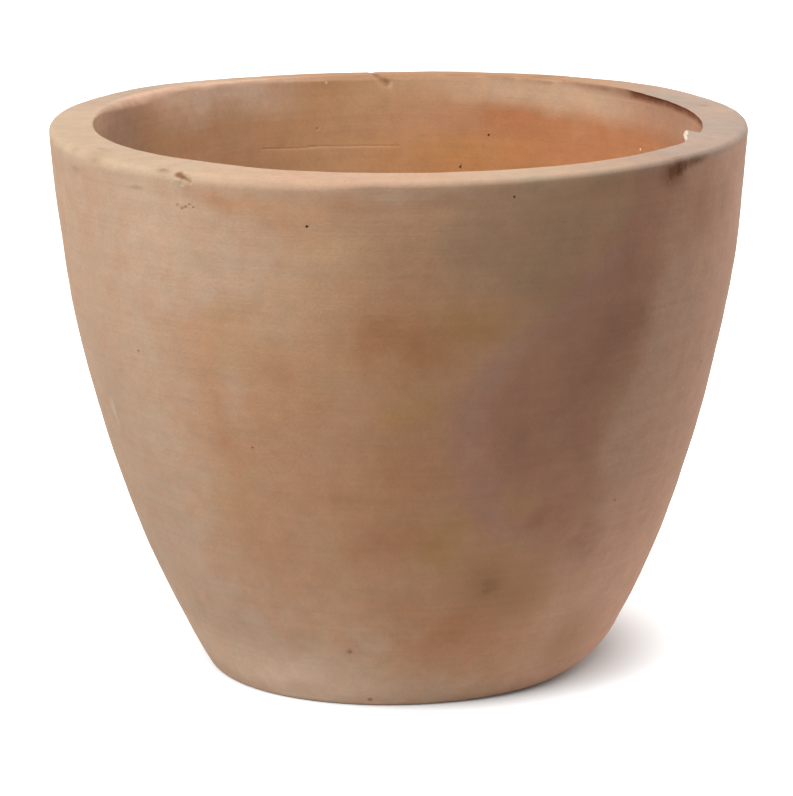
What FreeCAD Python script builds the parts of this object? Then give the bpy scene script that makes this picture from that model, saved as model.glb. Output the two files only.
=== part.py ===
import FreeCAD, Part
import math
import os

# One-piece terracotta planter: an egg cut off flat below, open above and hollowed out.
# Millimetres, +Z up, with the origin at the middle of the base.

# Outside
rim_diameter = 450.0
base_diameter = 256.0
height = 355.0
widest_above_rim = 73.0  # level, above the rim, at which the whole egg would be widest

# Thickness of the clay, measured level on the wall
rim_wall = 28.0
foot_wall = 26.0  # where the inside of the wall meets the floor
floor_thickness = 26.0

# Rounded edges
rim_outer_round = 7.0
rim_inner_round = 3.0
base_round = 4.0
floor_corner_round = 30.0

# Drainage
drain_diameter = 30.0

rim_radius = rim_diameter / 2
base_radius = base_diameter / 2
drain_radius = drain_diameter / 2
widest_level = height + widest_above_rim


def egg_through(lower, upper):
    """Widest radius and half length of the egg about +Z that passes through two (radius, level) points."""
    lower_drop = (lower[1] - widest_level) ** 2
    upper_drop = (upper[1] - widest_level) ** 2
    scale = lower[0] ** 2 * upper_drop - upper[0] ** 2 * lower_drop
    widest = math.sqrt(scale / (upper_drop - lower_drop))
    half_length = math.sqrt(scale / (lower[0] ** 2 - upper[0] ** 2))
    return widest, half_length


def egg_angle(egg, level):
    """Angle from the top of the egg to the point of its outline at a level."""
    return math.acos((level - widest_level) / egg[1])


def egg_radius(egg, level):
    return egg[0] * math.sin(egg_angle(egg, level))


def egg_arc(egg, lower_level, upper_level):
    """The egg's outline between two levels, in the XZ plane."""
    middle = FreeCAD.Vector(0, 0, widest_level)
    top = FreeCAD.Vector(0, 0, widest_level + egg[1])
    side = FreeCAD.Vector(egg[0], 0, widest_level)
    ellipse = Part.Ellipse(top, side, middle)
    arc = Part.ArcOfEllipse(ellipse, egg_angle(egg, upper_level), egg_angle(egg, lower_level))
    return arc.toShape()


def straight(start, end):
    """A straight edge between two (radius, level) points of the XZ plane."""
    return Part.makeLine(FreeCAD.Vector(start[0], 0, start[1]), FreeCAD.Vector(end[0], 0, end[1]))


def ring(solid, radius, level):
    """The round edge that lies nearest to a radius and a level."""
    rounds = [edge for edge in solid.Edges if isinstance(edge.Curve, Part.Circle)]
    return min(rounds, key=lambda edge: math.hypot(edge.Curve.Radius - radius, edge.Curve.Center.z - level))


def clay_pot():
    """The whole planter: egg wall, flat rim, floor and drain hole, thrown as one piece of clay."""
    outside = egg_through((base_radius, 0), (rim_radius, height - rim_outer_round))
    floor_radius = egg_radius(outside, floor_thickness) - foot_wall
    mouth_radius = rim_radius - rim_wall
    inside = egg_through((floor_radius, floor_thickness), (mouth_radius, height))
    rim_edge_radius = egg_radius(outside, height)

    outline = Part.Wire([
        straight((drain_radius, 0), (base_radius, 0)),
        egg_arc(outside, 0, height),
        straight((rim_edge_radius, height), (mouth_radius, height)),
        egg_arc(inside, floor_thickness, height),
        straight((floor_radius, floor_thickness), (drain_radius, floor_thickness)),
        straight((drain_radius, floor_thickness), (drain_radius, 0)),
    ])
    pot = Part.Face(outline).revolve(FreeCAD.Vector(0, 0, 0), FreeCAD.Vector(0, 0, 1), 360)

    rounded_edges = [
        (base_round, base_radius, 0),
        (rim_outer_round, rim_edge_radius, height),
        (rim_inner_round, mouth_radius, height),
        (floor_corner_round, floor_radius, floor_thickness),
    ]
    for round_radius, edge_radius, level in rounded_edges:
        pot = pot.makeFillet(round_radius, [ring(pot, edge_radius, level)])
    return pot


os.makedirs("parts", exist_ok=True)
clay_pot().exportStep("parts/clay_pot.step")
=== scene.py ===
import math

import bmesh
import bpy
import numpy as np
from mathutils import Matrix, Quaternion, Vector, noise


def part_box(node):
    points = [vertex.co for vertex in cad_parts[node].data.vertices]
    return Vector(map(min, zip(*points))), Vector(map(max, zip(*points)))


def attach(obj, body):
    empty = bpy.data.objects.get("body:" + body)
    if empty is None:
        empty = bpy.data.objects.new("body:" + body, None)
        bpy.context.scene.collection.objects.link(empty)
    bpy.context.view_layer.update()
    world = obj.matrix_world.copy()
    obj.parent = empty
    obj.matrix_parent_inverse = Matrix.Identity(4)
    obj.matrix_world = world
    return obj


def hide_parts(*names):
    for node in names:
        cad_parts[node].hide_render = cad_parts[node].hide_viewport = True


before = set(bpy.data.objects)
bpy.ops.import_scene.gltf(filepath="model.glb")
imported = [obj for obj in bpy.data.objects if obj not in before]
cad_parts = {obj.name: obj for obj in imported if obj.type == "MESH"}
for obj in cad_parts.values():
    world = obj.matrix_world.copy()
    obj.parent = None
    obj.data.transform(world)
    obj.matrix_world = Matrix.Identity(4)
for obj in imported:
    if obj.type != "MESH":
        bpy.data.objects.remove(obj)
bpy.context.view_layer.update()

# Sizes of the pot in millimetres, as in the CAD part. The mesh is scaled to metres when it is made.
MILLIMETRE = 0.001
pot_low, pot_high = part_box("clay_pot")
height = pot_high.z / MILLIMETRE
rim_radius = (pot_high.x - pot_low.x) / 2 / MILLIMETRE
base_radius = 128
widest_level = height + 73.0
rim_wall = 28
rim_shoulder = 7
foot_wall = 26
floor_level = 26
floor_corner_round = 30
drain_radius = 15
drain_edge_round = 2

# What the potter's hands left uneven, in millimetres and degrees. A wave has an order, a size and a peak.
# A swell has an angle, a spread and a size.
rim_waves = ((1, 0.8, 175), (2, 0.5, 165), (3, 0.7, 30), (4, 0.5, 145))
rim_swells = ((85, 85, 1.4), (-175, 40, 1))
rim_fall = 2
rim_fall_swells = ((78, 75, 2), (180, 45, -1.5))
mouth_swells = ((-45, 45, 3.5), (-138, 45, -4), (22, 40, -2.5))
# Edges are rounded: the mouth's most at the back left, the foot's at the right, the rim's at the front left
mouth_round = 2.5
mouth_round_swells = ((150, 28, 4.5), (95, 40, 1.5), (15, 55, -1.3), (178, 22, -1.2))
foot_round = 3
foot_round_swells = ((0, 55, 34), (-35, 60, 13), (95, 60, 3))
rim_edge_round = 3.5
soft_edge_round = 3.5
soft_edge_span = (-182, 24, -93, 14)
front_angle = -90
# Where the outer wall is fuller than an egg: angle, spread, level, half height and size
wall_swells = ((-133, 58, 0, 42, 4.8), (0, 70, 265, 70, 1.6), (180, 70, 235, 60, 1))

# Lumps all over: depth, shift of the noise and size
lumps = ((0.45, 0, 75), (0.16, 900, 16))
# Faint turning marks: how far their noise is stretched each way, and their depths
turning_stretch = (420, 420, 9)
turning_on_wall = 0.10
turning_in_hollow = 0.28
# A shallow hollow under the rim where the wall faces out, and where it runs: angle and spread
bead_level = height - 15.0
bead_reach = 6
bead_hollow = 0.4
bead_side = (-70, 70)
facing_out = 0.5
# The crumbled edge of the mouth: angle and spread, depth, and shift and size of the noise
crumb_side = (136, 42)
crumb_depth = 1.8
crumb_shift = 700
crumb_size = 9

# How far the inner edge of the rim hangs over the hollow: angle and reach. It starts with a broken tooth.
lip_angles = (-33, -29, -25.5, -22.6, -20, -18.9, -18.3, -12, -8, 1.4, 10, 23.8, 24.4, 25, 34.5, 38, 60)
lip_reaches = (0, -2.5, 0.8, 4.3, 7, 8.2, 0, 0, 1, 1.8, 2.2, 2.6, 1, 2.8, 2.6, 0.6, 0)
lip_edge_depth = 1.2
lip_edge_fade = 0.8
lip_roughness = 0.25
lip_rough_size = 9
# The wall stands back under the lip: share of the lip's reach, rise, depth where it ends and fall
recess_share = 0.45
recess_rise = 1.2
recess_end = 26
recess_fall = 20
tooth_angles = (-28, -18.9, -18.3)
tooth_shares = (0, 1, 0)
tooth_rise = 2
tooth_depth = 3
tooth_sharpness = 3

# Dents and pits: where they lie (angle and level on a wall, angle and radius on the rim), reach and depth
wall_dents = (
    (-126.2, 352.2, 3.4, 0.7), (-125, 350.8, 3.6, 0.8), (-123.9, 348.8, 2.6, 0.4),
    (-126.5, 333.4, 1.2, 0.35), (-125.6, 331.3, 1.1, 0.35), (-124.9, 332.7, 1.2, 0.35),
    (-124.1, 334.3, 1.1, 0.35), (-123.4, 332.7, 1.1, 0.35), (-41.5, 345.5, 8, 0.8), (-36.8, 348.4, 6, 0.5),
    (-104.2, 326.3, 0.9, 1.2), (-72.3, 342.4, 0.8, 1), (-117, 182, 0.9, 0.5), (-140.1, 233.6, 1.2, 0.6),
    (-44.9, 134.6, 0.9, 0.5), (-23.3, 211.3, 0.9, 0.4), (-99.4, 5, 2, 0.8), (61, 349.5, 6, 1),
    (138, 346, 5, 0.8), (84, 240, 1, 0.9), (112, 131, 0.9, 0.6), (152, 288, 1, 0.9), (28, 176, 0.9, 0.7),
    (47, 301, 1, 0.9),
)
inside_dents = (
    (71.1, 314, 0.9, 1.1), (77, 291, 1, 0.9), (106.9, 319.3, 1, 0.3), (-85, 300, 1, 0.8),
    (-130, 262, 1, 0.7), (-40, 231, 1, 0.8),
)
rim_dents = (
    (-129.4, 221.5, 2, 0.5), (-131.2, 222, 1.6, 0.5), (-144.5, 222, 2.2, 0.4), (-151.2, 211, 2.4, 0.4),
    (14, 209, 2, 0.6), (121, 216, 2.2, 0.6),
)
# Dents have jagged edges: share, and shift and size of the noise
jagged_share = 0.45
jagged_shift = 300
jagged_size = 5
dent_fullness = 0.8
# Small dents get painted shade, dark pits: the widest that counts, how far its painted shade reaches, and the
# depth of the darkest
widest_pit = 1.3
pit_edge = 1.5
darkest_pit = 1.6

# Grooves: their points (angle, radius, level), half width and depth
nick_top = ((94.9, 225, 352.8), (94.7, 212, 354.3), (94.5, 202, 354.9))
nick_inside = ((94.6, 204, 354.8), (94.1, 198, 354.2), (93.4, 197, 352.4), (92.2, 196.6, 349.5))
crack_left = ((-111.4, 212.5, 355), (-109.2, 218.5, 354.6), (-107.2, 222.5, 352.8))
crack_front = ((-98.1, 222, 353.9), (-96, 223.4, 352.2), (-94.1, 224.2, 350.2))
crack_under_lip = ((22.9, 196.4, 352.4), (22.7, 196, 349.6), (22.6, 195.7, 347))
line_inside_left = ((119.5, 193.6, 308.3), (114, 193.5, 307), (107.5, 193.4, 306.4))
line_inside_right = ((109, 193.4, 307.4), (101, 193.3, 306.2), (90, 193.2, 305.4))
grooves = (
    (nick_top, 1.8, 0.6), (nick_inside, 2.4, 1), (crack_left, 0.6, 0.5), (crack_front, 0.7, 0.6),
    (crack_under_lip, 0.6, 0.4), (line_inside_left, 0.7, 0.3), (line_inside_right, 0.7, 0.25),
)
# Painted shade, dark edges along grooves: path, reach and strength
groove_shades = ((nick_top, 2.6, 0.5), (nick_inside, 3.6, 0.65), (crack_under_lip, 0.9, 0.9))
# Small pale specks on the inner wall: angle, level and reach
hollow_specks = ((104.7, 351, 0.9), (32, 316.7, 0.8))
speck_edge = 1.6
# Marks along a path are followed out to this many times their reach
path_fade = 4

# Scuffs on top of the rim: angle, radius, half width, half depth and strength
rim_scuffs = (
    (-150.4, 211, 9, 2.4, 0.2), (-154.8, 222, 5, 2, 0.22), (-147, 220, 12, 4, 0.12),
    (-129.6, 222, 5.5, 1.6, 0.5), (14, 209, 4, 3, 0.2), (121, 216, 4, 3, 0.2),
)
# Brown streaks along the far edge of the mouth: path, reach and strength
edge_streaks = (
    (((80, 197.8, 355.6), (75, 197.6, 355)), 1.2, 0.25),
    (((71, 197.4, 354.4), (66, 197.2, 353.4)), 1.4, 0.35),
    (((64.5, 197.4, 353.8), (58, 197.2, 352.8)), 1.4, 0.35),
    (((55, 196.8, 354.6), (43, 195.8, 353)), 1.6, 0.4),
)

# Borders between colours on the outer wall, from the foot up: level and angle
bloom_border = (
    (0, -96), (20, -100), (40, -110), (60, -119), (80, -125), (110, -131), (150, -128), (190, -131),
    (255, -130), (270, -124), (285, -112), (300, -108), (320, -111), (335, -122),
)
smoke_border = (
    (112, -64), (120, -69), (130, -74), (145, -78), (165, -80.5), (190, -81), (215, -80), (235, -76.5),
    (250, -72.5), (258, -70), (270, -64), (290, -58.5), (310, -54), (330, -51),
)
pink_border = (
    (0, -60), (90, -57), (130, -52), (148, -51.5), (172, -54), (205, -49.5), (250, -46.5), (285, -43),
    (315, -40.5), (345, -38),
)
border_middle = -100
bloom_softness = 75
smoke_softness = 22
pink_softness = 40
mauve_softness = 24
mauve_width = 16
# Where colours of the outer wall start or end, as an angle or a level, and how far they take to do so
bloom_start = (-230, 40)
pink_end = (50, 50)
smoke_start = (102, 40)
mauve_end = (330, 60)
# How far the edges of colours stray, further at the back, and shifts and size of the noise
stray_reach = 5
stray_swells = ((75, 110, 15),)
stray_turn_shift = 200
stray_level_shift = 500
stray_size = 30
stray_octaves = 3

# Soft patches of colour on the outer wall: angle, level, half width, half height and strength
patches = {
    "olive": (
        (-100, 327, 50, 12, 0.3), (-76, 318, 60, 20, 0.9), (-80, 338, 46, 8, 0.5), (-60, 336, 34, 10, 0.6),
        (-51.6, 330, 24, 16, 0.7), (-62, 277, 26, 12, 0.5), (-46, 30, 24, 16, 0.6), (-64, 318, 26, 22, 0.8),
        (-68, 295, 30, 14, 0.7), (-85, 300, 40, 14, 0.4), (60, 310, 90, 26, 0.8), (130, 60, 60, 30, 0.6),
    ),
    # Bloom rows at levels 6 to 9 between -110 and -72 are painted bounce light on the foot; the others are
    # chalky bloom
    "bloom_and_bounce_light": (
        (-114, 347, 46, 6, 0.7), (-90, 347, 44, 5, 0.6), (-66, 347, 40, 4, 0.35), (-119.3, 220, 8, 26, 0.6),
        (-116.5, 293, 7, 18, 0.4), (-111, 268, 22, 16, 0.35), (-77, 243, 5, 12, 0.3), (-110, 9, 60, 17, 0.7),
        (-86, 9, 50, 15, 0.55), (-72, 6, 30, 14, 0.4), (112, 190, 34, 46, 0.6), (142, 322, 60, 22, 0.6),
        (75, 50, 60, 26, 0.6), (160, 12, 60, 16, 0.5),
    ),
    "pale": (
        (-121, 9, 46, 20, 0.9), (-106, 8, 36, 18, 0.7), (-99, 45, 36, 18, 0.4), (-110, 72, 40, 20, 0.2),
        (-133, 318, 34, 30, 0.3), (170, 30, 90, 30, 0.5),
    ),
    "sand": (
        (-119, 246, 26, 18, 0.8), (-109, 280, 32, 18, 0.8), (-102, 311, 28, 14, 0.8),
        (-67, 148, 14, 16, 0.35), (-72, 247, 12, 10, 0.3), (105, 290, 60, 24, 0.7), (50, 90, 50, 30, 0.6),
    ),
    "smoke": ((-34, 322, 46, 34, 0.85), (20, 300, 80, 60, 0.5)),
    # Umber rows at levels 336 to 339 are painted shade under the rim; the others are umber patches
    "umber_and_shade": (
        (-80, 339, 46, 5, 0.3), (-98, 336, 14, 6, 0.4), (-55, 338, 30, 8, 0.35), (-66, 277, 34, 14, 0.25),
        (-69, 84, 30, 22, 0.5), (-45, 40, 24, 20, 0.55), (95, 336, 60, 8, 0.5),
    ),
    "blush": (
        (-91.5, 260, 26, 20, 0.75), (-86, 248, 26, 20, 0.6), (-93, 238, 18, 14, 0.4),
        (-108, 236, 20, 14, 0.3), (-122, 184, 14, 22, 0.4), (-109, 213, 22, 16, 0.5),
        (-101, 152, 22, 16, 0.35), (-80, 80, 26, 14, 0.35), (-66, 74, 18, 14, 0.35), (-84, 42, 40, 13, 0.45),
        (-88, 298, 30, 20, 0.25), (-88, 172, 28, 36, 0.5), (-92, 122, 20, 12, 0.9), (-97, 112, 14, 8, 0.6),
        (-88, 56, 30, 10, 0.8), (-78, 60, 22, 12, 0.6), (-92, 74, 24, 14, 0.35), (-118.5, 338, 11, 7, 0.9),
        (95, 240, 60, 40, 0.8), (40, 170, 50, 40, 0.6), (150, 140, 40, 50, 0.6), (126, 92, 36, 20, 0.7),
        (114, 300, 34, 14, 0.5), (168, 240, 30, 26, 0.5), (15, 110, 30, 24, 0.5),
    ),
    "gold": (
        (-122, 258, 34, 26, 0.4), (-82, 268, 18, 12, 0.7), (-76, 262, 14, 12, 0.8), (-91, 208, 14, 16, 0.8),
        (-86, 212, 10, 8, 0.6), (-93, 160, 16, 20, 0.4), (-126, 142, 22, 20, 0.4), (-67, 146, 14, 12, 0.3),
        (-84, 118, 18, 14, 0.9), (-79, 132, 10, 8, 0.5), (-80, 240, 14, 10, 0.4), (-73, 96, 20, 14, 0.8),
        (-62, 75, 20, 12, 0.6), (-50, 85, 12, 10, 0.4), (70, 120, 60, 34, 0.5), (132, 210, 30, 22, 0.7),
        (140, 262, 34, 18, 0.6),
    ),
    "rust": (
        (-50.5, 292, 12, 16, 0.6), (-51, 258, 16, 18, 0.8), (-47.5, 262, 12, 16, 0.7),
        (-55, 232, 14, 18, 0.7), (-51, 112, 16, 16, 0.6), (-61, 211, 18, 18, 0.6), (-70, 188, 16, 14, 0.6),
        (-66, 172, 16, 14, 0.4), (-64.5, 131, 6, 4, 0.6), (30, 270, 50, 40, 0.5),
    ),
    # Scorch rows at -152 and -144, wide and faint, are painted shade darkening the left side; the others are
    # scorch marks and scuffs
    "scorch_and_shade": (
        (-43, 345, 6.5, 5.5, 0.75), (-40.5, 347, 6, 4.5, 0.7), (-38.5, 347.6, 7, 3.4, 0.5),
        (-35.5, 349.2, 11, 2.6, 0.65), (-41, 341, 11, 7, 0.35), (-39, 338, 2.5, 2.5, 0.4),
        (-146.4, 351.6, 5, 1.6, 0.32), (-149, 352, 12, 3, 0.1), (-153.2, 342.4, 8, 1.8, 0.3),
        (-135.2, 340.6, 5.5, 1, 0.28), (-124.4, 344, 3, 5, 0.14), (-152, 200, 30, 90, 0.08),
        (-144, 128, 22, 30, 0.05), (-71.9, 86.5, 6, 5, 0.3), (-73.5, 93, 13, 11, 0.17),
        (-63.2, 132, 6, 4, 0.25), (61, 350, 8, 6, 0.5),
    ),
    # The first four stain rows are painted shade in the chipped rim; the others are stains
    "stain_and_shade": (
        (-126.2, 352, 3.6, 2, 1), (-125, 350.6, 3.6, 1.8, 0.7), (-123.9, 349.2, 3, 1.4, 0.5),
        (-124.3, 343.5, 3, 4, 0.4), (-129.6, 354.8, 6, 1.6, 0.4), (-125, 332.8, 7, 2, 0.45),
        (-103, 42.7, 3, 2.8, 0.95), (-99.4, 5, 2.6, 2.2, 0.7),
    ),
    # The chalk row at level 2 is painted bounce light along the foot; the other row, the tooth's flake and
    # the specks are chalk
    "chalk_and_bounce_light": ((-155, 182, 6, 14, 0.6), (-100, 2, 120, 6, 0.3)),
}
marks = ("scorch_and_shade", "stain_and_shade", "chalk_and_bounce_light")

# Colours of the hollow by angle, depth below the rim or level: start and rise, end and fall, or all four
hollow_middle = 90
high_start = (40, 120)
right_span = (-60, 40, 110, 49)
# The orange starts at a depth that changes with the angle
ember_angles = (20, 40, 58, 78)
ember_sinks = (12, 17, 12, 7)
ember_rise = 18
band_end = (44, 14)
# Painted shade on the inner wall near the rim at its right end: strength, and angle and depth where it ends,
# with their falls
dusk_shade_strength = 0.65
dusk_shade_angle_end = (48, 18)
dusk_shade_sink_end = (40, 20)
blaze_strength = 0.5
blaze_side = (76, 24)
blaze_start = (34, 20)
# Pale ash bloom at the left of the inner wall with painted light: paler near the rim and fading with depth
ash_and_light_span = (104, 20, 154, 22)
ash_and_light_end = (40, 34)
faint_ash_and_light_strength = 0.18
faint_ash_and_light_end = (90, 40)
soot_span = (140, 20, 250, 60)
# Painted shade in the recess under the overhanging lip: angles and shares round the mouth, and depth below
# the rim as start, rise, end and fall
undercut_shade_angles = (-12, -4, 23.6, 24.4, 25.2, 35.5, 38, 48, 52)
undercut_shade_shares = (0, 1, 1, 0.1, 1, 1, 0.45, 0.35, 0)
undercut_shade_span = (0, 1.2, 7.5, 3.5)
# How far the depths of these colours stray, and shift and size of the noise
sink_stray = 6
sink_shift = 400
sink_size = 40

# Colours of the rim: swells of each tone, and strengths
dull_swells = ((0, 90, 1.3), (152, 28, 0.6))
rear_swells = ((80, 55, 1.5),)
peach_swells = ((-98, 34, 1.5),)
peach_strength = 0.6
# Wear with a painted highlight along the mouth's inner edge, most at the back left
worn_highlight_swells = ((138, 40, 1.2),)
flake_strength = 0.75
flake_rise = 1.0 / 3.0
# Painted shade, a dark line where the foot meets the floor: strength, and level where it ends and fall
contact_shade_strength = 0.6
contact_shade_end = (1.8, 1.4)

# Rings of the mesh along the outline, from the drain hole under the base round to the drain hole again
stretches = (
    ("base", 8), ("base edge", 6), ("wall", 84), ("rim outside", 8), ("rim top", 12), ("rim inside", 8),
    ("inside", 40), ("floor edge", 6), ("floor", 6), ("drain top", 3), ("drain", 3), ("drain foot", 3),
)
ring_starts = {}
ring_total = 0
for stretch, count in stretches:
    ring_starts[stretch] = ring_total
    ring_total += count
segment_total = 296
seam_angle = 160
split_levels = 5
# How rings crowd together: towards both ends of the wall, and towards the rim inside
wall_crowding = 0.5
inside_crowding = 1.5
# Edges are split while longer than these shares of a feature's reach, out to a margin in edge lengths
split_margin = 1.2
speck_detail = 0.5
dent_detail = 0.25
groove_detail = 0.5
groove_split_reach = 2
tooth_detail = 0.6
tooth_split_reach = 6
# How far along the outline the direction of the surface is measured, in rings
slope_step = 0.02
# How often the rim's outer edge is placed anew, so that it meets the wall
settling_rounds = 2
# Settings of the noise for lumps
fractal_fineness = 1
fractal_gap = 2


def ease(value):
    """0 below 0, 1 above 1 and a soft step between them."""
    held = np.clip(value, 0.0, 1.0)
    return held * held * (3.0 - 2.0 * held)


def starts(value, start, rise):
    """0 up to a start, then easing to 1 over a rise."""
    return ease((value - start) / rise)


def ends(value, end, fall):
    """1 at first, then easing to 0 over a fall that finishes at an end."""
    return ease((end - value) / fall)


def span(value, start, rise, end, fall):
    """1 between a start and an end, eased at both."""
    return starts(value, start, rise) * ends(value, end, fall)


def angle_gap(turn, angle):
    """Degrees from an angle round the pot, between -180 and 180."""
    return (np.degrees(turn) - angle + 180.0) % 360.0 - 180.0


def angle_about(turn, middle):
    """The angle round the pot in degrees, counted to half a turn on both sides of a middle."""
    return angle_gap(turn, middle) + middle


def swell(turn, angle, spread):
    """1 at an angle round the pot, easing to 0 where the spread ends on both sides."""
    return ease(1.0 - np.abs(angle_gap(turn, angle)) / spread)


def swells(turn, rows):
    """Sum of the swells round the pot in rows of angle, spread and size."""
    return sum(size * swell(turn, angle, spread) for angle, spread, size in rows)


def held_swells(turn, rows):
    """Sum of swells round the pot, held at 1."""
    return np.minimum(1.0, swells(turn, rows))


def egg_through(lower, upper):
    """Half width and half length of the egg, centred at widest_level, through two (radius, level) points."""
    lower_drop = (widest_level - lower[1]) ** 2
    upper_drop = (widest_level - upper[1]) ** 2
    spread = upper[0] ** 2 - lower[0] ** 2
    half_length = math.sqrt((upper[0] ** 2 * lower_drop - lower[0] ** 2 * upper_drop) / spread)
    half_width = upper[0] / math.sqrt(1.0 - upper_drop / half_length ** 2)
    return half_width, half_length


def egg_radius(egg, level):
    return egg[0] * np.sqrt(1.0 - ((widest_level - level) / egg[1]) ** 2)


def egg_lean(egg, level):
    """Angle between the egg's wall and level ground."""
    drop = (widest_level - level) / egg[1]
    return np.arctan2(egg[1] * np.sqrt(1.0 - drop ** 2), egg[0] * drop)


outside_egg = egg_through((base_radius, 0.0), (rim_radius, height - rim_shoulder))
inside_foot = egg_radius(outside_egg, floor_level) - foot_wall
inside_egg = egg_through((inside_foot, floor_level), (rim_radius - rim_wall, height))


def rim_level(turn):
    """The rim's top: a little wavy, and highest at the back and the left."""
    level = height + swells(turn, rim_swells)
    for order, size, peak in rim_waves:
        level = level + size * np.cos(order * (turn - math.radians(peak)))
    return level


def wall_radius(turn, level):
    """The outer egg, pushed out a little at the front left of its foot and fuller at both sides."""
    radius = egg_radius(outside_egg, level)
    for angle, spread, middle, half_height, size in wall_swells:
        radius = radius + size * swell(turn, angle, spread) * ease(1.0 - np.abs(level - middle) / half_height)
    return radius


def hollow_radius(turn, level):
    """The inner egg, whose mouth is a little out of true."""
    shift = swells(turn, mouth_swells) * starts(level, height / 2.0, height / 2.0)
    return egg_radius(inside_egg, level) + shift


def rim_tilt(turn):
    """How far the top of the rim falls away to the outside, most of all at the back."""
    return np.radians(rim_fall + swells(turn, rim_fall_swells))


def base_edge(turn):
    """Size of the foot's round, the radius of its centre, the wall's lean and the level where it ends."""
    size = foot_round + swells(turn, foot_round_swells)
    end = size * (1.0 - np.cos(egg_lean(outside_egg, 0.0)))
    lean = egg_lean(outside_egg, end)
    end = size * (1.0 - np.cos(lean))
    return size, wall_radius(turn, end) - size * np.sin(lean), lean, end


def rim_inner_edge(turn):
    """Size of the mouth's round, the radius of its centre, the wall's lean and the level where it ends."""
    size = mouth_round + swells(turn, mouth_round_swells)
    lean = egg_lean(inside_egg, height)
    end = rim_level(turn) - size * (1.0 - np.cos(lean))
    return size, hollow_radius(turn, end) + size * np.sin(lean), lean, end


def rim_outer_edge(turn):
    """The rim's outer round: size, centre's radius, the wall's lean, its start and its centre's level."""
    soft = span(angle_about(turn, front_angle), *soft_edge_span)
    size = rim_edge_round + soft_edge_round * soft
    lean = egg_lean(outside_egg, height - rim_shoulder)
    inner_size, inner_centre, _, _ = rim_inner_edge(turn)
    tilt = rim_tilt(turn)
    start = height - rim_shoulder
    for _ in range(settling_rounds):
        centre = wall_radius(turn, start) - size * np.sin(lean)
        fall = ((centre - inner_centre) * np.sin(tilt) + size - inner_size) / np.cos(tilt)
        centre_level = rim_level(turn) - inner_size - fall
        start = centre_level - size * np.cos(lean)
    return size, wall_radius(turn, start) - size * np.sin(lean), lean, start, centre_level


def floor_edge(turn):
    """Size of the floor's round, the radius of its centre, the wall's lean and the level where it starts."""
    lean = egg_lean(inside_egg, floor_level + floor_corner_round / 3.0)
    start = floor_level + floor_corner_round * (1.0 - np.cos(lean))
    return floor_corner_round, hollow_radius(turn, start) - floor_corner_round * np.sin(lean), lean, start


def between(start, end, share):
    return start + (end - start) * share


def arc(centre_radius, centre_level, size, angle):
    return centre_radius + size * np.cos(angle), centre_level + size * np.sin(angle)


def stretch_point(name, turn, share):
    """Radius and level of the pot's outline, a share of the way along one of its stretches."""
    right = math.pi / 2
    drain_edge = drain_radius + drain_edge_round
    if name == "base":
        return between(drain_edge, base_edge(turn)[1], share), np.zeros_like(share)
    if name == "base edge":
        size, centre, lean, _ = base_edge(turn)
        return arc(centre, size, size, between(-right, lean - right, share))
    if name == "wall":
        crowded = share - wall_crowding * np.sin(2.0 * math.pi * share) / (2.0 * math.pi)
        level = between(base_edge(turn)[3], rim_outer_edge(turn)[3], crowded)
        return wall_radius(turn, level), level
    if name == "rim outside":
        size, centre, lean, _, centre_level = rim_outer_edge(turn)
        return arc(centre, centre_level, size, between(lean - right, right - rim_tilt(turn), share))
    if name == "rim top":
        outer_size, outer_centre, _, _, outer_level = rim_outer_edge(turn)
        inner_size, inner_centre, _, _ = rim_inner_edge(turn)
        outer_end = arc(outer_centre, outer_level, outer_size, right - rim_tilt(turn))
        inner_end = arc(inner_centre, rim_level(turn) - inner_size, inner_size, right - rim_tilt(turn))
        return between(outer_end[0], inner_end[0], share), between(outer_end[1], inner_end[1], share)
    if name == "rim inside":
        size, centre, lean, _ = rim_inner_edge(turn)
        return arc(centre, rim_level(turn) - size, size, between(right - rim_tilt(turn), right + lean, share))
    if name == "inside":
        level = between(rim_inner_edge(turn)[3], floor_edge(turn)[3], share ** inside_crowding)
        return hollow_radius(turn, level), level
    if name == "floor edge":
        size, centre, lean, _ = floor_edge(turn)
        return arc(centre, floor_level + size, size, between(lean - right, -right, share))
    if name == "floor":
        return between(floor_edge(turn)[1], drain_edge, share), np.full_like(share, floor_level)
    if name == "drain top":
        level = floor_level - drain_edge_round
        return arc(drain_edge, level, drain_edge_round, between(right, 2 * right, share))
    if name == "drain":
        level = between(floor_level - drain_edge_round, drain_edge_round, share)
        return np.full_like(share, drain_radius), level
    return arc(drain_edge, drain_edge_round, drain_edge_round, between(2 * right, 3 * right, share))


def outline(turn, ring):
    """Radius and level at an angle round the pot, a number of rings along its outline."""
    radius = np.zeros_like(turn)
    level = np.zeros_like(turn)
    for name, count in stretches:
        share = (ring - ring_starts[name]) / count
        here = (share >= 0.0) & (share < 1.0)
        radius[here], level[here] = stretch_point(name, turn[here], share[here])
    return radius, level


# Spans of rings: start and rise, and for most of them end and fall
wall_rings = (ring_starts["wall"], 4.0, ring_starts["inside"], 4.0)
hollow_rings = (ring_starts["inside"], 4.0, ring_starts["drain top"], 3.0)
rim_rings = (ring_starts["rim outside"] - 2.0, 5.0, ring_starts["inside"], 5.0)
crumb_rings = (ring_starts["rim inside"] - 2.0, 3.0, ring_starts["inside"] + 1.0, 3.0)
worn_highlight_rings = (ring_starts["rim inside"] - 3.0, 3.0, ring_starts["inside"] + 1.0, 4.0)
flake_rings = (ring_starts["rim inside"], 2.0, ring_starts["inside"] + 3.0, 3.0)
inside_rings = (ring_starts["rim inside"], 8.0)
lip_rings = (ring_starts["rim top"], 12.0)


def placed(turn, radius, level):
    """Points in millimetres from angles in radians, radii and levels."""
    return np.stack((radius * np.cos(turn), radius * np.sin(turn), level), axis=1)


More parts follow.
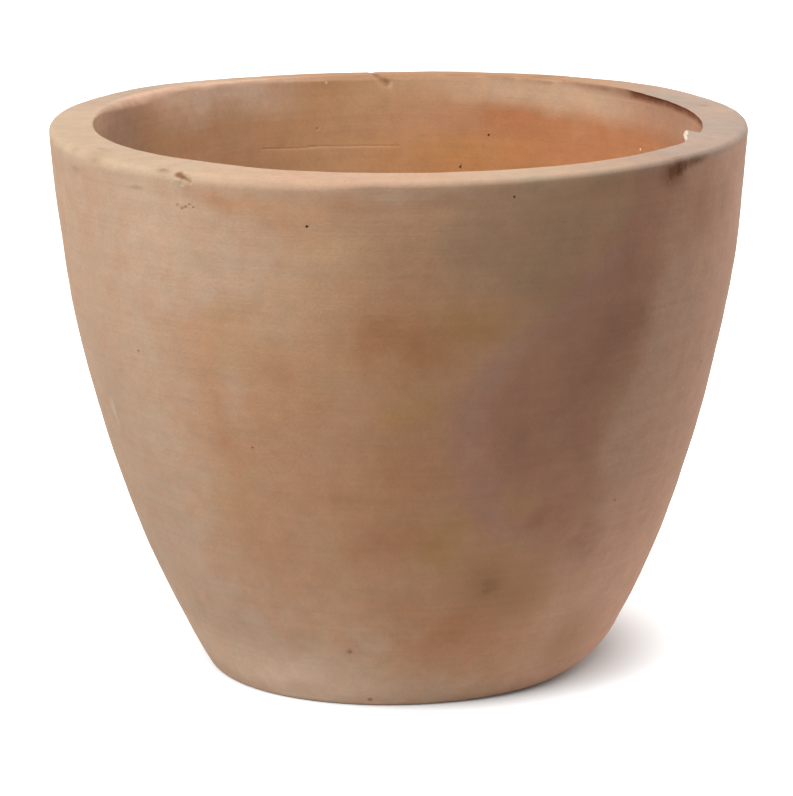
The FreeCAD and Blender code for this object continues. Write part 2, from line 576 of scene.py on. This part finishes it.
def spot(angle, radius, level):
    """A point in millimetres from an angle in degrees, a radius and a level."""
    turn = math.radians(angle)
    return np.array((radius * math.cos(turn), radius * math.sin(turn), level))


def hollow_spot(angle, level):
    """A point on the inner wall."""
    return spot(angle, float(hollow_radius(np.array(math.radians(angle)), level)), level)


def gap_from(points, centre):
    return np.linalg.norm(points - centre, axis=1)


# Every dent's centre on the pot, reach and depth
dents = [
    (spot(angle, float(egg_radius(outside_egg, level)), level), reach, depth)
    for angle, level, reach, depth in wall_dents
]
dents += [(hollow_spot(angle, level), reach, depth) for angle, level, reach, depth in inside_dents]
dents += [(spot(angle, radius, height), reach, depth) for angle, radius, reach, depth in rim_dents]


def bent(path):
    """Points along a path of (angle, radius, level) corners that follow the pot round between the corners."""
    corners = np.array(path)
    steps_between = 8
    places = np.linspace(0.0, len(corners) - 1.0, steps_between * (len(corners) - 1) + 1)
    angle, radius, level = (np.interp(places, np.arange(len(corners)), column) for column in corners.T)
    return [spot(*place) for place in zip(angle, radius, level)]


def path_distance(points, path, reach):
    """Distance of each point from a path, or endless where the point is further than reach from all of it."""
    steps = bent(path)
    low = np.min(steps, axis=0) - reach
    high = np.max(steps, axis=0) + reach
    near = np.flatnonzero(((points > low) & (points < high)).all(axis=1))
    nearest = np.full(len(near), np.inf)
    for start, end in zip(steps, steps[1:]):
        run = end - start
        offset = points[near] - start
        share = np.clip(offset @ run / (run @ run), 0.0, 1.0)
        nearest = np.minimum(nearest, np.linalg.norm(offset - share[:, None] * run, axis=1))
    distance = np.full(len(points), np.inf)
    distance[near] = nearest
    return distance


def near_path(points, path, reach):
    """1 on a path, fading away over a reach beside it."""
    distance = path_distance(points, path, path_fade * reach)
    return np.exp(-(distance / reach) ** 2)


def rough_noise(points, size, octaves=2):
    """Soft lumps about as wide as size, from about -1 to 1. The place alone decides them."""
    places = [Vector(place) for place in points / size]
    return np.array([noise.fractal(place, fractal_fineness, fractal_gap, octaves) for place in places])


def tooth_share(turn):
    """Rises along the broken tooth of the rim and ends where it snapped off."""
    return np.interp(angle_gap(turn, 0.0), tooth_angles, tooth_shares)


def lump_push(smooth, on_wall, in_hollow):
    """How far soft lumps and faint turning marks stand out."""
    lumpy = np.maximum(on_wall, in_hollow)
    turning = turning_on_wall * on_wall + turning_in_hollow * in_hollow
    push = turning * rough_noise(smooth / turning_stretch, 1.0)
    for depth, shift, size in lumps:
        push += lumpy * depth * rough_noise(smooth + shift, size)
    return push


def dent_depth(smooth):
    """How far dents and grooves go in."""
    total = np.zeros(len(smooth))
    jagged = 1.0 + jagged_share * rough_noise(smooth + jagged_shift, jagged_size)
    for centre, reach, depth in dents:
        share = gap_from(smooth, centre) / reach * jagged
        total += depth * np.clip(1.0 - share ** 2, 0.0, 1.0) ** dent_fullness
    for path, half_width, depth in grooves:
        total += depth * near_path(smooth, path, half_width)
    return total


def lip_shift(turn, ring, level, smooth):
    """How far the lip hangs inwards or the wall under it stands back, and how far the tooth rises."""
    sink = rim_level(turn) - level
    edge_depth = lip_edge_depth + tooth_depth * tooth_share(turn)
    hang = starts(ring, *lip_rings) * ends(sink, edge_depth, lip_edge_fade)
    recess = span(sink, edge_depth, recess_rise, recess_end, recess_fall) * (ring > ring_starts["rim top"])
    reach = np.interp(angle_gap(turn, 0.0), lip_angles, lip_reaches)
    reach = reach * (1.0 + lip_roughness * rough_noise(smooth, lip_rough_size))
    return reach * (hang - recess_share * recess), tooth_rise * tooth_share(turn) * hang ** tooth_sharpness


def pot_surface(turn, ring):
    """Points of the finished surface in millimetres, with its lumps, dents, grooves and overhanging lip."""
    radius, level = outline(turn, ring)
    before = outline(turn, np.clip(ring - slope_step, 0.0, ring_total - slope_step))
    after = outline(turn, np.clip(ring + slope_step, 0.0, ring_total - slope_step))
    along_radius = after[0] - before[0]
    along_level = after[1] - before[1]
    length = np.hypot(along_radius, along_level)
    out_radius = along_level / length
    out_level = -along_radius / length
    smooth = placed(turn, radius, level)

    on_wall = span(ring, *wall_rings)
    in_hollow = span(ring, *hollow_rings)
    push = lump_push(smooth, on_wall, in_hollow) - dent_depth(smooth)
    under_rim = on_wall * (out_radius > facing_out) * np.exp(-((level - bead_level) / bead_reach) ** 2)
    push -= bead_hollow * under_rim * swell(turn, *bead_side)
    crumbs = np.clip(rough_noise(smooth + crumb_shift, crumb_size), 0.0, 1.0)
    push -= crumb_depth * crumbs * span(ring, *crumb_rings) * swell(turn, *crumb_side)

    inward, rise = lip_shift(turn, ring, level, smooth)
    uneven = in_hollow + on_wall > 0.0
    return placed(turn, radius + push * out_radius - uneven * inward, level + push * out_level + rise)


def wall_width(level):
    return egg_radius(outside_egg, np.clip(level, 0.0, height))


def soft_spots(rows, turn, along, width):
    """Sum of soft spots, from rows of angle, place along the wall or rim, half sizes and strength."""
    total = np.zeros_like(turn)
    for angle, middle, half_width, half_length, strength in rows:
        across = np.radians(angle_gap(turn, angle)) * width / half_width
        total += strength * np.exp(-(across ** 2 + ((along - middle) / half_length) ** 2))
    return np.clip(total, 0.0, 1.0)


def past(border, turn, level, softness, offset=0.0):
    """0 before a border up the outer wall and 1 after it, eased over a width, at an offset in millimetres."""
    levels, angles = np.array(border).T
    gap = np.radians(angle_about(turn, border_middle) - np.interp(level, levels, angles)) * wall_width(level)
    return ease((gap - offset) / softness + 0.5)


def wall_masks(turn, level, points):
    """Colours of the outer wall, whose edges stray a little to and fro, and further at the back."""
    stray = stray_reach + swells(turn, stray_swells)
    turn_noise = rough_noise(points + stray_turn_shift, stray_size, stray_octaves)
    level_noise = rough_noise(points + stray_level_shift, stray_size, stray_octaves)
    stray_turn = turn + stray / rim_radius * turn_noise
    stray_level = level + stray * level_noise
    angle = angle_about(stray_turn, border_middle)
    bloomed = 1.0 - past(bloom_border, stray_turn, stray_level, bloom_softness)
    smoked = past(smoke_border, stray_turn, stray_level, smoke_softness)
    pinked = past(pink_border, stray_turn, stray_level, pink_softness)
    beyond = past(smoke_border, stray_turn, stray_level, mauve_softness, mauve_width)
    masks = {
        "bloom_and_bounce_light": bloomed * starts(angle, *bloom_start),
        "pink": pinked * ends(angle, *pink_end),
        "smoke": smoked * (1.0 - pinked) * starts(stray_level, *smoke_start),
    }
    masks["mauve"] = masks["smoke"] * (1.0 - beyond) * ends(stray_level, *mauve_end)
    for name in patches:
        if name in marks:
            found = soft_spots(patches[name], turn, level, wall_width(level))
        else:
            found = soft_spots(patches[name], stray_turn, stray_level, wall_width(stray_level))
        masks[name] = np.maximum(masks.get(name, 0.0), found)
    return masks


def hollow_masks(turn, level, points):
    """Colours of the inner wall: a pale band at the rim, orange below it, painted shade near the rim at the
    right and in the recess under the lip, and pale ash with painted light, and soot, at the left.
    """
    angle = angle_about(turn, hollow_middle)
    edge_sink = rim_level(turn) - level
    sink = edge_sink + sink_stray * rough_noise(points + sink_shift, sink_size, stray_octaves)
    high = starts(level, *high_start)
    at_right = high * span(angle, *right_span)
    ashen_and_lit = np.maximum(ends(sink, *ash_and_light_end), faint_ash_and_light_strength * ends(sink, *faint_ash_and_light_end))
    # Painted shade in the recess under the lip
    undercut_shade = np.interp(angle, undercut_shade_angles, undercut_shade_shares)
    return {
        "ember": at_right * starts(sink, np.interp(angle, ember_angles, ember_sinks), ember_rise),
        "dusk_shade": dusk_shade_strength * at_right * ends(angle, *dusk_shade_angle_end) * ends(sink, *dusk_shade_sink_end),
        "band": at_right * ends(sink, *band_end),
        "ash_and_light": span(angle, *ash_and_light_span) * ashen_and_lit,
        "blaze": blaze_strength * high * swell(turn, *blaze_side) * starts(sink, *blaze_start),
        "soot": high * span(angle, *soot_span),
        "undercut_shade": undercut_shade * span(edge_sink, *undercut_shade_span),
    }


def pit_shade_mask(points):
    """Sum of the painted shade in the small pits, deeper ones darker."""
    total = np.zeros(len(points))
    for centre, reach, depth in dents:
        if reach < widest_pit:
            total += min(1.0, depth / darkest_pit) * ease(pit_edge - gap_from(points, centre) / reach)
    return total


def pot_masks(turn, ring):
    """Where each kind of colour lies, as one value from 0 to 1 for each vertex."""
    radius, level = outline(turn, ring)
    points = placed(turn, radius, level)
    inside = starts(ring, *inside_rings) * (ring < ring_starts["drain foot"])
    rim = span(ring, *rim_rings)
    at_right = held_swells(turn, dull_swells)
    at_back = held_swells(turn, rear_swells)
    masks = {
        "inside": inside,
        "rim": rim * (1.0 - at_right) * (1.0 - at_back),
        "dull": rim * at_right * (1.0 - at_back),
        "rear": rim * at_back,
        "peach": peach_strength * rim * held_swells(turn, peach_swells),
        # Wear with a painted highlight along the mouth's inner edge
        "worn_highlight": span(ring, *worn_highlight_rings) * held_swells(turn, worn_highlight_swells),
        # Painted shade in the small pits
        "pit_shade": pit_shade_mask(points),
    }
    for name, values in wall_masks(turn, level, points).items():
        masks[name] = values * (1.0 - inside)
    for name, values in hollow_masks(turn, level, points).items():
        masks[name] = values * inside
    masks["scorch_and_shade"] += rim * soft_spots(rim_scuffs, turn, radius, radius)
    # Painted shade: a dark line at the foot where it meets the floor
    masks["scorch_and_shade"] += contact_shade_strength * ends(level, *contact_shade_end) * (1.0 - inside)
    for path, reach, strength in edge_streaks:
        masks["scorch_and_shade"] += strength * near_path(points, path, reach)
    # Painted shade along the grooves
    for path, reach, strength in groove_shades:
        masks["stain_and_shade"] += strength * near_path(points, path, reach)
    masks["chalk_and_bounce_light"] += flake_strength * span(ring, *flake_rings) * ease(tooth_share(turn) / flake_rise)
    for angle, speck_level, reach in hollow_specks:
        masks["chalk_and_bounce_light"] += ease(speck_edge - gap_from(points, hollow_spot(angle, speck_level)) / reach)
    return masks


def pot_grid():
    """Segment and ring of each point of the plain grid, and its faces, closed both ways."""
    segment = np.repeat(np.arange(segment_total), ring_total)
    ring = np.tile(np.arange(ring_total), segment_total)
    here = segment * ring_total
    beside = (segment + 1) % segment_total * ring_total
    after = (ring + 1) % ring_total
    faces = np.stack((here + ring, beside + ring, beside + after, here + after), axis=1)
    return segment, ring, faces


def segment_turn(segment):
    return math.radians(seam_angle) + segment * 2.0 * math.pi / segment_total


def wants_split(points, edge_length):
    """True for points near a speck, a dent, a groove or the tooth that such long edges are too coarse for."""
    close = np.zeros(len(points), bool)
    margin = split_margin * edge_length
    for angle, level, reach in hollow_specks:
        if edge_length > speck_detail * reach:
            close |= gap_from(points, hollow_spot(angle, level)) < reach + margin
    for centre, reach, _ in dents:
        if edge_length > dent_detail * reach:
            close |= gap_from(points, centre) < reach + margin
    for path, half_width, _ in grooves:
        if edge_length > groove_detail * half_width:
            reach = groove_split_reach * half_width + margin
            close |= path_distance(points, path, reach) < reach
    if edge_length > tooth_detail:
        tooth = [(angle, rim_radius - rim_wall, height) for angle in tooth_angles]
        reach = tooth_split_reach + margin
        close |= path_distance(points, tooth, reach) < reach
    return close


def refine(made):
    """Splits the faces round the small features, level by level, while the mesh still lies flat."""
    edge_length = 2.0 * math.pi * rim_radius / segment_total
    for _ in range(split_levels):
        made.verts.index_update()
        flat = np.array([vert.co[:2] for vert in made.verts])
        turn = segment_turn(flat[:, 0])
        points = placed(turn, *outline(turn, flat[:, 1]))
        close = wants_split(points, edge_length)
        edges = [edge for edge in made.edges if all(close[vert.index] for vert in edge.verts)]
        bmesh.ops.subdivide_edges(made, edges=edges, cuts=1, use_grid_fill=True)
        edge_length /= 2.0
    wide = [face for face in made.faces if len(face.verts) > 4]
    bmesh.ops.triangulate(made, faces=wide)


def make_pot():
    """The clay pot: one closed lathe mesh with hand-made unevenness and soft masks for its colours."""
    segment, ring, faces = pot_grid()
    mesh = bpy.data.meshes.new("terracotta_pot")
    flat = np.stack((segment, ring, np.zeros_like(ring)), axis=1)
    mesh.from_pydata(flat.tolist(), [], faces.tolist())
    made = bmesh.new()
    made.from_mesh(mesh)
    refine(made)
    flat = np.array([vert.co[:2] for vert in made.verts])
    made.to_mesh(mesh)
    made.free()

    turn = segment_turn(flat[:, 0])
    points = pot_surface(turn, flat[:, 1]) * MILLIMETRE
    mesh.vertices.foreach_set("co", points.astype(np.float32).ravel())
    for name, values in pot_masks(turn, flat[:, 1]).items():
        layer = mesh.attributes.new(name, "FLOAT", "POINT")
        layer.data.foreach_set("value", values.astype(np.float32))
    mesh.shade_smooth()
    mesh.update()
    mesh.validate()
    pot = bpy.data.objects.new("terracotta_pot", mesh)
    bpy.context.scene.collection.objects.link(pot)
    return pot


def linear(red, green, blue):
    """A colour written as on screen, 0 to 255, for a colour socket."""
    screen = np.array((red, green, blue)) / 255.0
    light = np.where(screen <= 0.04045, screen / 12.92, ((screen + 0.055) / 1.055) ** 2.4)
    return (*light.tolist(), 1.0)


class Recipe:
    """Adds nodes to one node tree and links them, so that a material reads from top to bottom."""

    def __init__(self, tree):
        self.tree = tree
        tree.nodes.clear()

    def feed(self, socket, value):
        if isinstance(value, bpy.types.NodeSocket):
            self.tree.links.new(value, socket)
        else:
            socket.default_value = value

    def add(self, kind, inputs, **settings):
        node = self.tree.nodes.new(kind)
        for name, value in settings.items():
            setattr(node, name, value)
        for name, value in inputs.items():
            self.feed(node.inputs[name], value)
        return node

    def math(self, operation, first, second):
        return self.add("ShaderNodeMath", {0: first, 1: second}, operation=operation).outputs[0]

    def mix(self, share, first, second, blend="MIX"):
        node = self.add("ShaderNodeMix", {0: share, 6: first, 7: second}, data_type="RGBA", blend_type=blend)
        return node.outputs[2]

    def soft_step(self, value, low, high, bottom=0.0, top=1.0):
        inputs = {"Value": value, "From Min": low, "From Max": high, "To Min": bottom, "To Max": top}
        return self.add("ShaderNodeMapRange", inputs, interpolation_type="SMOOTHSTEP").outputs[0]

    def noise(self, place, scale, detail, roughness):
        inputs = {"Vector": place, "Scale": scale, "Detail": detail, "Roughness": roughness}
        return self.add("ShaderNodeTexNoise", inputs).outputs["Fac"]

    def mask(self, name):
        return self.add("ShaderNodeAttribute", {}, attribute_name=name).outputs["Fac"]

    def mottled(self, name, cloud, amount):
        """A mask of the mesh, stronger and weaker by the patches of a noise."""
        uneven = self.soft_step(cloud, *noise_range, 1.0 - amount, 1.0 + amount)
        inputs = {0: self.mask(name), 1: uneven}
        return self.add("ShaderNodeMath", inputs, operation="MULTIPLY", use_clamp=True).outputs[0]

    def ragged(self, name, cloud, amount, low, high):
        """A mask of the mesh, broken up by a noise."""
        shaken = self.math("MULTIPLY_ADD", cloud, amount)
        shaken.node.inputs[2].default_value = -amount / 2.0
        return self.soft_step(self.math("ADD", self.mask(name), shaken), low, high)

    def layers(self, colour, rows, noises):
        """A colour with others laid over it in turn, in rows of mask, noise, unevenness and colour."""
        for name, noise_name, amount, tint in rows:
            colour = self.mix(self.mottled(name, noises[noise_name], amount), colour, linear(*tint))
        return colour


# Noises of the clay: scale, or for turning lines the stretch each way, then detail and roughness
clay_noises = {
    "wide": (9, 5, 0.6),
    "cloud": (26, 6, 0.62),
    "mottle": (55, 4, 0.6),
    "small": (90, 4, 0.6),
    "grain": (520, 3, 0.6),
}
clay_lines = {
    "lines": ((7, 7, 240), 4, 0.6),
    "fine lines": ((16, 16, 760), 2, 0.5),
}
noise_range = (0.3, 0.7)
patchy_range = (0.35, 0.65)
sandy_range = (0.5, 0.72, 0.0, 0.5)

# Colours, and those laid over them in turn: mask, noise that makes it uneven, how uneven, and colour
clay_tan = linear(200, 155, 120)
clay_rose = linear(197, 149, 116)
clay_sand = linear(202, 161, 128)
hollow_tan = linear(207, 160, 115)
hollow_beige = linear(206, 164, 123)
# Painted shade in the small pits
pit_shade_brown = linear(84, 56, 40)
warm_tint = (1.015, 0.995, 0.99, 1.0)
cool_tint = (0.988, 1.005, 1.008, 1.0)
body_colours = (
    ("pink", "cloud", 0.3, (208, 163, 137)),
    ("olive", "cloud", 0.4, (187, 149, 118)),
    ("smoke", "cloud", 0.3, (189, 139, 113)),
    ("mauve", "mottle", 0.4, (191, 145, 123)),
    ("sand", "cloud", 0.4, (206, 165, 129)),
    ("gold", "cloud", 0.5, (193, 147, 101)),
    ("blush", "cloud", 0.5, (186, 133, 95)),
    ("rust", "mottle", 0.4, (176, 127, 102)),
    # Umber patches, with painted shade under the rim
    ("umber_and_shade", "small", 0.4, (172, 130, 98)),
    # Chalky bloom, with painted bounce light on the foot
    ("bloom_and_bounce_light", "mottle", 0.25, (203, 169, 142)),
    ("pale", "mottle", 0.3, (222, 189, 162)),
)
hollow_colours = (
    ("band", "cloud", 0.2, (192, 160, 132)),
    ("ember", "cloud", 0.15, (176, 120, 81)),
    ("blaze", "cloud", 0.3, (185, 133, 75)),
    # Painted shade near the rim at the right end of the inner wall
    ("dusk_shade", "cloud", 0.2, (160, 116, 91)),
    ("soot", "cloud", 0.3, (170, 138, 113)),
    # Pale ash bloom with painted light, paler near the rim
    ("ash_and_light", "cloud", 0.4, (235, 207, 181)),
)
rim_colours = (
    ("rim", "cloud", 0.25, (192, 165, 138)),
    ("peach", "cloud", 0.4, (196, 156, 130)),
    ("dull", "cloud", 0.25, (172, 150, 134)),
    ("rear", "small", 0.25, (174, 132, 100)),
)
mark_colours = (
    # Wear with a painted highlight on the mouth's edge
    ("worn_highlight", "small", 0.4, (212, 172, 146)),
    # Painted shade in the recess under the lip
    ("undercut_shade", "small", 0.3, (124, 79, 56)),
    # Scorch marks and scuffs, with painted shade at the foot and on the left side
    ("scorch_and_shade", "small", 0.4, (120, 76, 50)),
)
# Crisper marks: mask, how broken up, values where the mark starts and where it is whole, and colour
crisp_colours = (
    # Stains, and painted shade in the chipped rim and along grooves
    ("stain_and_shade", 0.9, 0.25, 0.9, (140, 98, 68)),
    # Chalk, with painted bounce light along the foot
    ("chalk_and_bounce_light", 0.7, 0.2, 0.9, (224, 209, 189)),
)
# How much lighter and darker each noise makes the clay, and how high in metres it stands out
clay_shades = (("lines", 0.022), ("fine lines", 0.012), ("grain", 0.03), ("small", 0.04))
clay_rises = (("grain", 0.00025), ("fine lines", 0.00006), ("lines", 0.00015), ("small", 0.0004))
bump_strength = 0.6
clay_roughness = (0.78, 0.95)
clay_shine = 0.25


def clay_material():
    """Weathered terracotta: mottled clay, chalky bloom, firing blushes, stains, turning lines and grain, with
    painted shade in pits, grooves, the chipped rim, under the rim and lip and at the foot, and painted light
    on the foot, inside at the left and along the mouth's edge.
    """
    material = bpy.data.materials.new("terracotta")
    material.use_nodes = True
    made = Recipe(material.node_tree)
    place = made.add("ShaderNodeTexCoord", {}).outputs["Object"]
    noises = {}
    for name, (scale, detail, roughness) in clay_noises.items():
        noises[name] = made.noise(place, scale, detail, roughness)
    for name, (stretch, detail, roughness) in clay_lines.items():
        stretched = made.add("ShaderNodeMapping", {"Vector": place, "Scale": stretch}).outputs[0]
        noises[name] = made.noise(stretched, 1.0, detail, roughness)

    patchy = made.soft_step(noises["wide"], *patchy_range)
    body = made.mix(patchy, clay_tan, clay_rose)
    body = made.mix(made.soft_step(noises["cloud"], *sandy_range), body, clay_sand)
    body = made.layers(body, body_colours, noises)
    hollow = made.mix(patchy, hollow_tan, hollow_beige)
    hollow = made.layers(hollow, hollow_colours, noises)
    colour = made.mix(made.mask("inside"), body, hollow)
    colour = made.layers(colour, rim_colours, noises)
    warmth = made.mix(made.soft_step(noises["mottle"], *patchy_range), warm_tint, cool_tint)
    colour = made.mix(1.0, colour, warmth, "MULTIPLY")
    colour = made.layers(colour, mark_colours, noises)
    for name, amount, low, high, tint in crisp_colours:
        broken = made.ragged(name, noises["small"], amount, low, high)
        colour = made.mix(broken, colour, linear(*tint))
    # Painted shade in the small pits
    colour = made.mix(made.mask("pit_shade"), colour, pit_shade_brown)
    shade = 1.0
    for name, amount in clay_shades:
        shade = made.math("ADD", shade, made.soft_step(noises[name], *noise_range, -amount, amount))
    tone = made.add("ShaderNodeCombineColor", {0: shade, 1: shade, 2: shade}).outputs[0]
    colour = made.mix(1.0, colour, tone, "MULTIPLY")

    rise = 0.0
    for name, amount in clay_rises:
        rise = made.math("ADD", rise, made.math("MULTIPLY", noises[name], amount))
    bump = made.add("ShaderNodeBump", {"Height": rise, "Strength": bump_strength, "Distance": 1.0})
    inputs = {
        "Base Color": colour,
        "Roughness": made.soft_step(noises["cloud"], *noise_range, *clay_roughness),
        "Specular IOR Level": clay_shine,
        "Normal": bump.outputs[0],
    }
    shader = made.add("ShaderNodeBsdfPrincipled", inputs)
    made.add("ShaderNodeOutputMaterial", {"Surface": shader.outputs[0]})
    return material


# The studio: sizes and places in metres. The board under the pot is brighter at the right.
floor_reach = 8
board_radius = 0.20
board_fade = 0.25
board_left = linear(112, 111, 110)
board_right = linear(232, 231, 230)
bounce_grey = linear(104, 104, 104)
floor_white = linear(237, 243, 246)
# The floor's own glow, which leaves the shadow dark close to the pot
glow_middle = (0.014, 0.0, 0.0)
glow_start = 0.105
glow_fade = 0.08
glow_strength = 0.6
glow_white = linear(255, 254, 254)
pure_white = linear(255, 255, 255)
ambient_strength = 0.25
# Lamps: name, degrees to the right of the camera, degrees above the floor, degrees across and power
lamps = (
    ("key", -63, 34, 50, 2.7),
    ("overhead", 15, 71, 50, 1.4),
    ("back right", 130, 8, 50, 2.2),
)
lamp_distance = 3
# The camera: degrees above the pot's middle, metres from it, degrees of roll, lens and sensor in millimetres,
# and how far it aims to the left of the middle and below it
camera_elevation = 13.19
camera_distance = 2.475
camera_roll = 0.6
camera_lens = 170.3
camera_sensor = 36
aim_left = 0.0031
aim_down = 0.0072


def seen_directly(made):
    """1 for the camera's rays and those that shiny or clear surfaces pass on, 0 for light that bounces."""
    path = made.add("ShaderNodeLightPath", {}).outputs
    seen = made.math("MAXIMUM", path["Is Camera Ray"], path["Is Glossy Ray"])
    return made.math("MAXIMUM", seen, path["Is Transmission Ray"])


def make_floor():
    """A white floor that keeps the pot's shadow, and throws back light from a white board under the pot."""
    material = bpy.data.materials.new("floor")
    material.use_nodes = True
    made = Recipe(material.node_tree)
    place = made.add("ShaderNodeTexCoord", {}).outputs["Object"]
    across = made.add("ShaderNodeSeparateXYZ", {0: place}).outputs["X"]
    distance = made.add("ShaderNodeVectorMath", {0: place}, operation="LENGTH").outputs["Value"]
    glow_inputs = {0: place, 1: glow_middle}
    glow_distance = made.add("ShaderNodeVectorMath", glow_inputs, operation="DISTANCE").outputs["Value"]
    board_colour = made.mix(made.soft_step(across, -board_radius, board_radius), board_left, board_right)
    far_share = made.soft_step(distance, board_radius, board_radius + board_fade)
    bounce_colour = made.mix(far_share, board_colour, bounce_grey)
    bounce = made.add("ShaderNodeBsdfDiffuse", {"Color": bounce_colour}).outputs[0]
    shown = made.add("ShaderNodeBsdfDiffuse", {"Color": floor_white}).outputs[0]
    glow = made.soft_step(glow_distance, glow_start, glow_start + glow_fade, 0.0, glow_strength)
    lift = made.add("ShaderNodeEmission", {"Color": glow_white, "Strength": glow}).outputs[0]
    shown = made.add("ShaderNodeAddShader", {0: shown, 1: lift}).outputs[0]
    mixed = made.add("ShaderNodeMixShader", {0: seen_directly(made), 1: bounce, 2: shown}).outputs[0]
    made.add("ShaderNodeOutputMaterial", {"Surface": mixed})

    corners = [(x * floor_reach, y * floor_reach, 0.0) for x, y in ((-1, -1), (1, -1), (1, 1), (-1, 1))]
    mesh = bpy.data.meshes.new("floor")
    mesh.from_pydata(corners, [], [(0, 1, 2, 3)])
    mesh.materials.append(material)
    floor = bpy.data.objects.new("floor", mesh)
    bpy.context.scene.collection.objects.link(floor)


def make_world():
    """Soft grey light all round, and white where the camera looks past the floor."""
    world = bpy.data.worlds.new("studio")
    world.use_nodes = True
    bpy.context.scene.world = world
    made = Recipe(world.node_tree)
    ambient = made.add("ShaderNodeBackground", {"Color": pure_white, "Strength": ambient_strength}).outputs[0]
    white = made.add("ShaderNodeBackground", {"Color": pure_white, "Strength": 1.0}).outputs[0]
    mixed = made.add("ShaderNodeMixShader", {0: seen_directly(made), 1: ambient, 2: white}).outputs[0]
    made.add("ShaderNodeOutputWorld", {"Surface": mixed})


def aimed(name, data, place, facing):
    """Adds an object that looks along a direction."""
    made = bpy.data.objects.new(name, data)
    made.location = place
    made.rotation_mode = "QUATERNION"
    made.rotation_quaternion = facing.to_track_quat("-Z", "Y")
    bpy.context.scene.collection.objects.link(made)
    return made


def make_lamp(name, side, elevation, softness, power):
    """A soft, far lamp that shines on the pot from a side and an elevation."""
    turn = math.radians(side)
    rise = math.radians(elevation)
    towards = Vector((math.sin(turn) * math.cos(rise), -math.cos(turn) * math.cos(rise), math.sin(rise)))
    lamp = bpy.data.lights.new(name, "SUN")
    lamp.energy = power
    lamp.angle = math.radians(softness)
    aimed(name, lamp, towards * lamp_distance, -towards)


def make_camera():
    """The photograph's view: from the front, a little above the middle of the pot, through a long lens."""
    elevation = math.radians(camera_elevation)
    middle = Vector((0.0, 0.0, pot_high.z / 2))
    back = Vector((0.0, -math.cos(elevation), math.sin(elevation)))
    up = Vector((0.0, math.sin(elevation), math.cos(elevation)))
    place = middle + back * camera_distance
    aim = middle - Vector((aim_left, 0.0, 0.0)) - aim_down * up
    camera_data = bpy.data.cameras.new("camera")
    camera_data.lens = camera_lens
    camera_data.sensor_width = camera_sensor
    camera = aimed("camera", camera_data, place, aim - place)
    camera.rotation_quaternion @= Quaternion((0.0, 0.0, 1.0), -math.radians(camera_roll))
    bpy.context.scene.camera = camera


def make_studio():
    make_floor()
    make_world()
    for lamp in lamps:
        make_lamp(*lamp)
    bpy.context.scene.view_settings.view_transform = "Standard"


pot = make_pot()
pot.data.materials.append(clay_material())
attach(pot, "root")
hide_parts("clay_pot")
make_studio()
make_camera()
